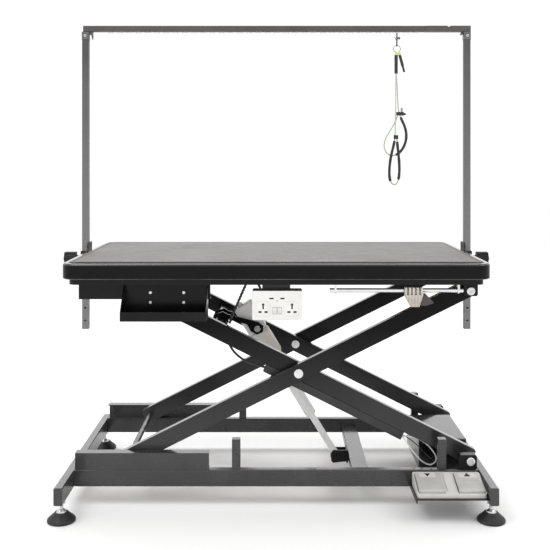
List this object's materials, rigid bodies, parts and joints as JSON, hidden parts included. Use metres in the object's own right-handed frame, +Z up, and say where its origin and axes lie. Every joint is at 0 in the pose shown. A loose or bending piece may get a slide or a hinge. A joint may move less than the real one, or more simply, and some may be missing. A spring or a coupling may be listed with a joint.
{
  "type": "grooming table",
  "caption": "Electric scissor-lift pet grooming table with matted top, over-table gantry, restraint noose, tool tray, socket box and foot pedal.",
  "frame": {"origin": "centre of the table's bounding box on the floor, at the underside of the levelling feet", "axes": "+Z up, +X to the operator's right along the table's length, -Y the front face with the sockets and pedal"},
  "size_m": [1.42, 0.716, 1.479],
  "materials": {
    "frame_black": "satin powder coat",
    "arm_black": "satin powder coat",
    "bolt_steel": "bright zinc",
    "roller_black": "nylon",
    "box_black": "fine texture",
    "pedal_grey": "fine texture",
    "foot_black": "moulded",
    "actuator_white": "satin",
    "actuator_grey": "satin",
    "rod_steel": "polished",
    "rim_black": "gloss",
    "board_wood": "plain board",
    "mat_grey": "ribbed anti-slip",
    "socket_white": "satin",
    "rail_chrome": "polished",
    "holder_beige": "satin",
    "gantry_grey": "hammered grey",
    "cord_green": "coated cord",
    "cord_black": "cable jacket",
    "fitting_black": "moulded"
  },
  "bodies": {
    "base": {"base_side_rails": "frame_black", "base_long_rails": "frame_black", "base_cross_member": "frame_black", "rest_posts": "frame_black", "lower_tracks": "frame_black", "lower_pivot_blocks": "frame_black", "base_pivot_bolts": "bolt_steel", "control_box": "box_black", "actuator_base_bracket": "frame_black", "pedal_tray": "frame_black", "pedal_housing": "pedal_grey", "control_wires": "cord_black"},
    "pedal_down": {"pedal_down": "pedal_grey"},
    "pedal_up": {"pedal_up": "pedal_grey"},
    "foot_front_left": {"foot_front_left": "foot_black"},
    "foot_front_right": {"foot_front_right": "foot_black"},
    "foot_rear_left": {"foot_rear_left": "foot_black"},
    "foot_rear_right": {"foot_rear_right": "foot_black"},
    "inner_arms": {"inner_arm_front": "arm_black", "inner_arm_rear": "arm_black", "inner_cross_tube": "arm_black", "actuator_top_bracket": "arm_black", "cable_duct": "frame_black", "inner_arm_bolts": "bolt_steel", "socket_cable_lower": "cord_black"},
    "upper_rollers": {"upper_rollers": "roller_black"},
    "outer_arms": {"outer_arm_front": "arm_black", "outer_arm_rear": "arm_black", "lower_axle": "bolt_steel", "outer_arm_bolts": "bolt_steel"},
    "lower_rollers": {"lower_rollers": "roller_black"},
    "actuator": {"actuator_gearbox": "actuator_white", "actuator_motor": "actuator_grey", "actuator_tube": "actuator_white"},
    "actuator_rod": {"actuator_rod": "rod_steel"},
    "tabletop": {"table_rim": "rim_black", "table_board": "board_wood", "table_mat": "mat_grey", "subframe": "frame_black", "upper_tracks": "frame_black", "upper_pivot_blocks": "frame_black", "tool_tray": "frame_black", "tray_screws": "bolt_steel", "socket_box": "socket_white", "accessory_rail": "rail_chrome", "rail_holder": "holder_beige", "post_clamps": "frame_black", "socket_cable_upper": "cord_black"},
    "socket_rocker_left": {"socket_rocker_left": "socket_white"},
    "socket_rocker_right": {"socket_rocker_right": "socket_white"},
    "clamp_knob_left": {"clamp_knob_left": "box_black"},
    "clamp_knob_right": {"clamp_knob_right": "box_black"},
    "gantry": {"post_left": "gantry_grey", "post_right": "gantry_grey", "post_caps": "gantry_grey", "top_bar": "gantry_grey"},
    "noose": {"snap_hook": "rod_steel", "noose_fittings": "fitting_black", "noose_cord_long": "cord_green", "noose_cord_short": "cord_green"}
  },
  "joints": [
    {"name": "lift", "type": "hinge", "parent": "base", "child": "inner_arms", "pos_m": [0.577, 0.0455, 0.1335], "axis": [0, 1, 0], "range_deg": [-21.4, 15.6], "deforming": ["control_wires"]},
    {"name": "scissor_pivot", "type": "hinge", "parent": "inner_arms", "child": "outer_arms", "pos_m": [0.067, 0.0455, 0.38675], "axis": [0, 1, 0], "range_deg": [-31.8, 43.4]},
    {"name": "top_pivot", "type": "hinge", "parent": "outer_arms", "child": "tabletop", "pos_m": [0.577, 0.0455, 0.64], "axis": [0, 1, 0], "range_deg": [-21.8, 16]},
    {"name": "lower_roller_spin", "type": "hinge", "parent": "outer_arms", "child": "lower_rollers", "pos_m": [-0.443, 0.0455, 0.1335], "axis": [0, 1, 0], "continuous": true},
    {"name": "upper_roller_spin", "type": "hinge", "parent": "inner_arms", "child": "upper_rollers", "pos_m": [-0.443, 0.0455, 0.64], "axis": [0, 1, 0], "continuous": true},
    {"name": "actuator_pivot", "type": "hinge", "parent": "inner_arms", "child": "actuator", "pos_m": [-0.061, 0.03, 0.485], "axis": [0, 1, 0], "range_deg": [-8, 8]},
    {"name": "actuator_stroke", "type": "slide", "parent": "actuator", "child": "actuator_rod", "axis": [0.5228, 0, -0.8524], "range_m": [-0.13, 0.1]},
    {"name": "pedal_down_press", "type": "hinge", "parent": "base", "child": "pedal_down", "pos_m": [0.4435, -0.2405, 0.1], "axis": [1, 0, 0], "range_deg": [0, 5], "stiffness_Nm_per_rad": 2, "springref_deg": -6.88},
    {"name": "pedal_up_press", "type": "hinge", "parent": "base", "child": "pedal_up", "pos_m": [0.5575, -0.2405, 0.1], "axis": [1, 0, 0], "range_deg": [0, 5], "stiffness_Nm_per_rad": 2, "springref_deg": -6.88},
    {"name": "foot_front_left_level", "type": "slide", "parent": "base", "child": "foot_front_left", "axis": [0, 0, 1], "range_m": [-0.012, 0.014]},
    {"name": "foot_front_right_level", "type": "slide", "parent": "base", "child": "foot_front_right", "axis": [0, 0, 1], "range_m": [-0.012, 0.014]},
    {"name": "foot_rear_left_level", "type": "slide", "parent": "base", "child": "foot_rear_left", "axis": [0, 0, 1], "range_m": [-0.012, 0.014]},
    {"name": "foot_rear_right_level", "type": "slide", "parent": "base", "child": "foot_rear_right", "axis": [0, 0, 1], "range_m": [-0.012, 0.014]},
    {"name": "socket_rocker_left_tilt", "type": "hinge", "parent": "tabletop", "child": "socket_rocker_left", "pos_m": [-0.0046, -0.277, 0.593], "axis": [1, 0, 0], "range_deg": [0, 8]},
    {"name": "socket_rocker_right_tilt", "type": "hinge", "parent": "tabletop", "child": "socket_rocker_right", "pos_m": [0.0096, -0.277, 0.593], "axis": [1, 0, 0], "range_deg": [0, 8]},
    {"name": "clamp_knob_left_turn", "type": "hinge", "parent": "tabletop", "child": "clamp_knob_left", "pos_m": [-0.69, 0.112, 0.7], "axis": [-1, 0, 0], "continuous": true},
    {"name": "clamp_knob_right_turn", "type": "hinge", "parent": "tabletop", "child": "clamp_knob_right", "pos_m": [0.69, 0.112, 0.7], "axis": [1, 0, 0], "continuous": true},
    {"name": "gantry_height", "type": "slide", "parent": "tabletop", "child": "gantry", "axis": [0, 0, 1], "range_m": [-0.04, 0.17]},
    {"name": "noose_swing", "type": "hinge", "parent": "gantry", "child": "noose", "pos_m": [0.405, 0.112, 1.452], "axis": [1, 0, 0], "range_deg": [-45, 45]}
  ],
  "couplings": [
    {"joint": "scissor_pivot", "follows": "lift", "ratio": -2},
    {"joint": "top_pivot", "follows": "lift", "ratio": 1},
    {"joint": "actuator_pivot", "follows": "lift", "ratio": 0.336},
    {"joint": "actuator_stroke", "follows": "lift", "m_per_rad": 0.33805}
  ]
}
